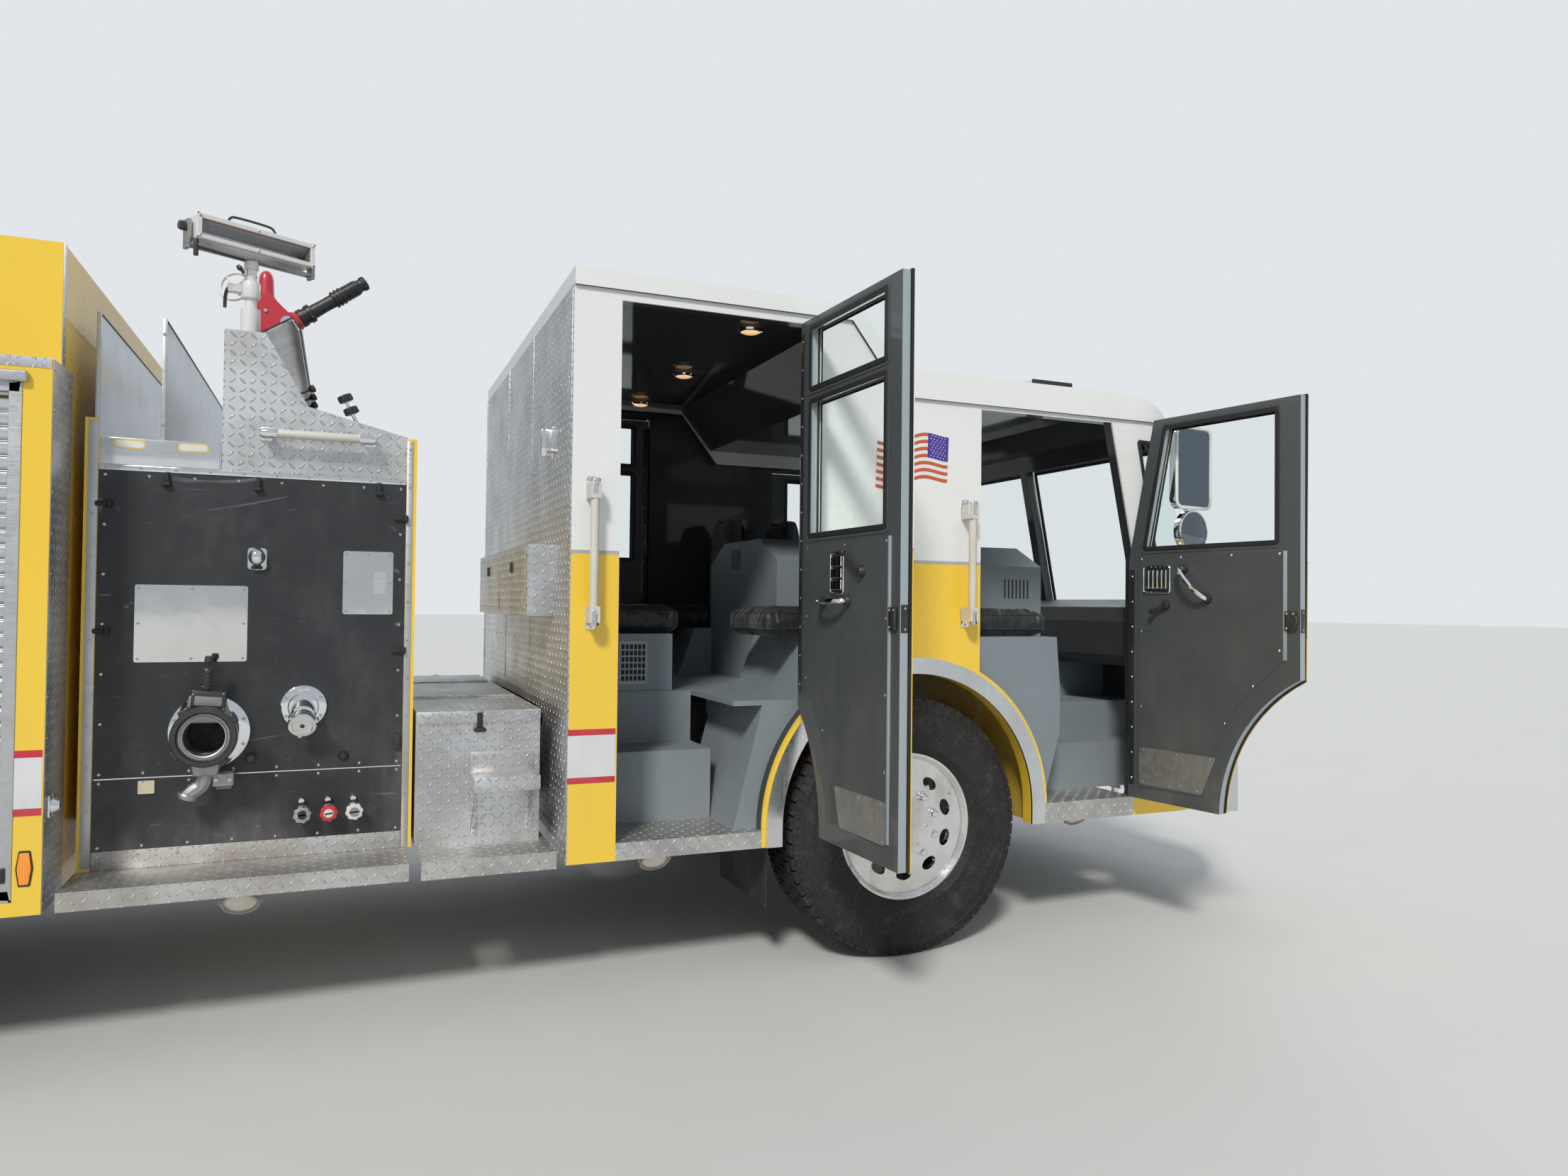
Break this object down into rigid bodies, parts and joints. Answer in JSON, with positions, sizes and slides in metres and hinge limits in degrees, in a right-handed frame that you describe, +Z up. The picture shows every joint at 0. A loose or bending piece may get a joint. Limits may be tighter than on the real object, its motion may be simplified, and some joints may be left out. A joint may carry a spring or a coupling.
{
  "type": "pumper fire truck",
  "caption": "Pumper fire truck: tilting crew cab with side doors, top-worked pump house, walkway, deck gun, telescoping lamp and hose body on twin rear wheels.",
  "frame": {"origin": "middle of the whole box on the ground, right-hand doors open as in the picture", "axes": "+X forward along the truck, +Y to its left, +Z up; the open doors are at negative Y"},
  "size_m": [9.45, 3.5803, 2.9176],
  "materials": {
    "frame_black": "satin black paint",
    "engine_grey": "painted castings",
    "axle_iron": "black painted iron",
    "polished_steel": "polished stainless",
    "body_yellow": "gloss paint, white above the waist",
    "roof_white": "gloss paint",
    "clear_glass": "clear",
    "interior_grey": "textured grey",
    "tread_plate": "bright diamond tread plate",
    "dash_dark": "grained",
    "seat_black": "woven and vinyl",
    "rail_ivory": "ribbed grip",
    "mirror_chrome": "polished",
    "tyre_rubber": "matte",
    "wheel_alloy": "polished",
    "panel_black": "textured black",
    "brushed": "brushed stainless",
    "shutter_alloy": "satin slats",
    "tank_plastic": "welded sheet",
    "gun_red": "gloss red",
    "lamp_white": "white enamel",
    "bar_lens": "coloured lens",
    "flap_rubber": "matte",
    "wheel_rim_black": "grained"
  },
  "bodies": {
    "chassis": {"chassis_frame": "frame_black", "engine_block": "engine_grey", "front_axle": "axle_iron", "rear_axle": "axle_iron", "leaf_springs": "axle_iron", "front_bumper": "polished_steel", "walkway_box": "tread_plate", "running_boards": "tread_plate", "pump_house": "body_yellow", "pump_panels": "panel_black", "pump_fittings": "mirror_chrome", "control_housing": "tread_plate", "crosslay_bed": "brushed", "deck_mounts": "lamp_white", "lockers": "body_yellow", "roll_doors": "shutter_alloy", "water_tank": "tank_plastic", "hose_bed": "body_yellow", "tailboard": "tread_plate"},
    "cab": {"cab_shell": "body_yellow", "windscreen": "clear_glass", "cab_roof": "roof_white", "cab_floor": "interior_grey", "cab_steps": "tread_plate", "arch_trims": "polished_steel", "dashboard": "dash_dark", "seats": "seat_black", "cab_handrails": "rail_ivory", "cab_back_plate": "tread_plate", "front_grille": "polished_steel", "light_bar": "bar_lens", "mud_flaps": "flap_rubber"},
    "steering": {"steering_wheel": "wheel_rim_black"},
    "gun_swivel": {"gun_elbow": "gun_red"},
    "gun_nozzle": {"gun_barrel": "panel_black"},
    "mast": {"lamp_mast": "brushed"},
    "lamp_head": {"flood_lamp": "lamp_white"},
    "rear_door_body_right": {"rear_door_right": "body_yellow", "rear_door_glass_right": "clear_glass"},
    "front_door_body_right": {"front_door_right": "body_yellow", "front_door_glass_right": "clear_glass", "mirror_right": "mirror_chrome"},
    "knuckle_body_right": {"knuckle_right": "axle_iron"},
    "front_wheel_body_right": {"front_wheel_right": "wheel_alloy", "front_tyre_right": "tyre_rubber"},
    "rear_wheel_body_right": {"rear_wheel_right": "wheel_alloy", "rear_tyre_right": "tyre_rubber"},
    "lid_body_right": {"bin_lid_right": "tread_plate"},
    "rear_door_body_left": {"rear_door_left": "body_yellow", "rear_door_glass_left": "clear_glass"},
    "front_door_body_left": {"front_door_left": "body_yellow", "front_door_glass_left": "clear_glass", "mirror_left": "mirror_chrome"},
    "knuckle_body_left": {"knuckle_left": "axle_iron"},
    "front_wheel_body_left": {"front_wheel_left": "wheel_alloy", "front_tyre_left": "tyre_rubber"},
    "rear_wheel_body_left": {"rear_wheel_left": "wheel_alloy", "rear_tyre_left": "tyre_rubber"},
    "lid_body_left": {"bin_lid_left": "tread_plate"}
  },
  "joints": [
    {"name": "cab_tilt", "type": "hinge", "parent": "chassis", "child": "cab", "pos_m": [4.195, 0.284, 0.8], "axis": [0, 1, 0], "range_deg": [0, 45]},
    {"name": "steering_turn", "type": "hinge", "parent": "cab", "child": "steering", "pos_m": [3.615, 1.084, 1.65], "axis": [-0.57, 0, 0.8216], "range_deg": [-570, 570]},
    {"name": "rear_door_right_hinge", "type": "hinge", "parent": "cab", "child": "rear_door_body_right", "pos_m": [2.105, -0.944, 1.8], "axis": [0, 0, 1], "range_deg": [-92, 0]},
    {"name": "front_door_right_hinge", "type": "hinge", "parent": "cab", "child": "front_door_body_right", "pos_m": [3.771, -0.944, 1.2], "axis": [0, 0, 1], "range_deg": [-98, 0]},
    {"name": "steer_right", "type": "hinge", "parent": "chassis", "child": "knuckle_body_right", "pos_m": [2.575, -0.621, 0.538], "axis": [0, 0, 1], "range_deg": [-38, 38]},
    {"name": "front_wheel_right_spin", "type": "hinge", "parent": "knuckle_body_right", "child": "front_wheel_body_right", "pos_m": [2.575, -0.785, 0.538], "axis": [0, 1, 0], "continuous": true},
    {"name": "rear_wheel_right_spin", "type": "hinge", "parent": "chassis", "child": "rear_wheel_body_right", "pos_m": [-2.425, -0.78, 0.538], "axis": [0, 1, 0], "continuous": true},
    {"name": "bin_lid_right_hinge", "type": "hinge", "parent": "chassis", "child": "lid_body_right", "pos_m": [0.86, -0.15, 1.061], "axis": [-1, 0, 0], "range_deg": [0, 37]},
    {"name": "rear_door_left_hinge", "type": "hinge", "parent": "cab", "child": "rear_door_body_left", "pos_m": [2.105, 1.512, 1.8], "axis": [0, 0, -1], "range_deg": [0, 92]},
    {"name": "front_door_left_hinge", "type": "hinge", "parent": "cab", "child": "front_door_body_left", "pos_m": [3.771, 1.512, 1.2], "axis": [0, 0, -1], "range_deg": [0, 98]},
    {"name": "steer_left", "type": "hinge", "parent": "chassis", "child": "knuckle_body_left", "pos_m": [2.575, 1.189, 0.538], "axis": [0, 0, 1], "range_deg": [-38, 38]},
    {"name": "front_wheel_left_spin", "type": "hinge", "parent": "knuckle_body_left", "child": "front_wheel_body_left", "pos_m": [2.575, 1.353, 0.538], "axis": [0, 1, 0], "continuous": true},
    {"name": "rear_wheel_left_spin", "type": "hinge", "parent": "chassis", "child": "rear_wheel_body_left", "pos_m": [-2.425, 1.348, 0.538], "axis": [0, 1, 0], "continuous": true},
    {"name": "bin_lid_left_hinge", "type": "hinge", "parent": "chassis", "child": "lid_body_left", "pos_m": [0.86, 0.718, 1.061], "axis": [1, 0, 0], "range_deg": [0, 37]},
    {"name": "gun_swivel_turn", "type": "hinge", "parent": "chassis", "child": "gun_swivel", "pos_m": [0.053, 0.284, 2.6], "axis": [0, 0, 1], "range_deg": [-170, 170]},
    {"name": "gun_lift", "type": "hinge", "parent": "gun_swivel", "child": "gun_nozzle", "pos_m": [0.14, 0.284, 2.66], "axis": [0, -1, 0], "range_deg": [-45, 45]},
    {"name": "mast_slide", "type": "slide", "parent": "chassis", "child": "mast", "axis": [0, 0, 1], "range_m": [0, 0.4]},
    {"name": "lamp_turn", "type": "hinge", "parent": "mast", "child": "lamp_head", "pos_m": [0.06, -0.566, 2.7], "axis": [0, 0, 1], "range_deg": [-170, 170]}
  ],
  "couplings": [
    {"joint": "steer_left", "follows": "steer_right", "ratio": 1},
    {"joint": "steering_turn", "follows": "steer_right", "ratio": 15}
  ]
}
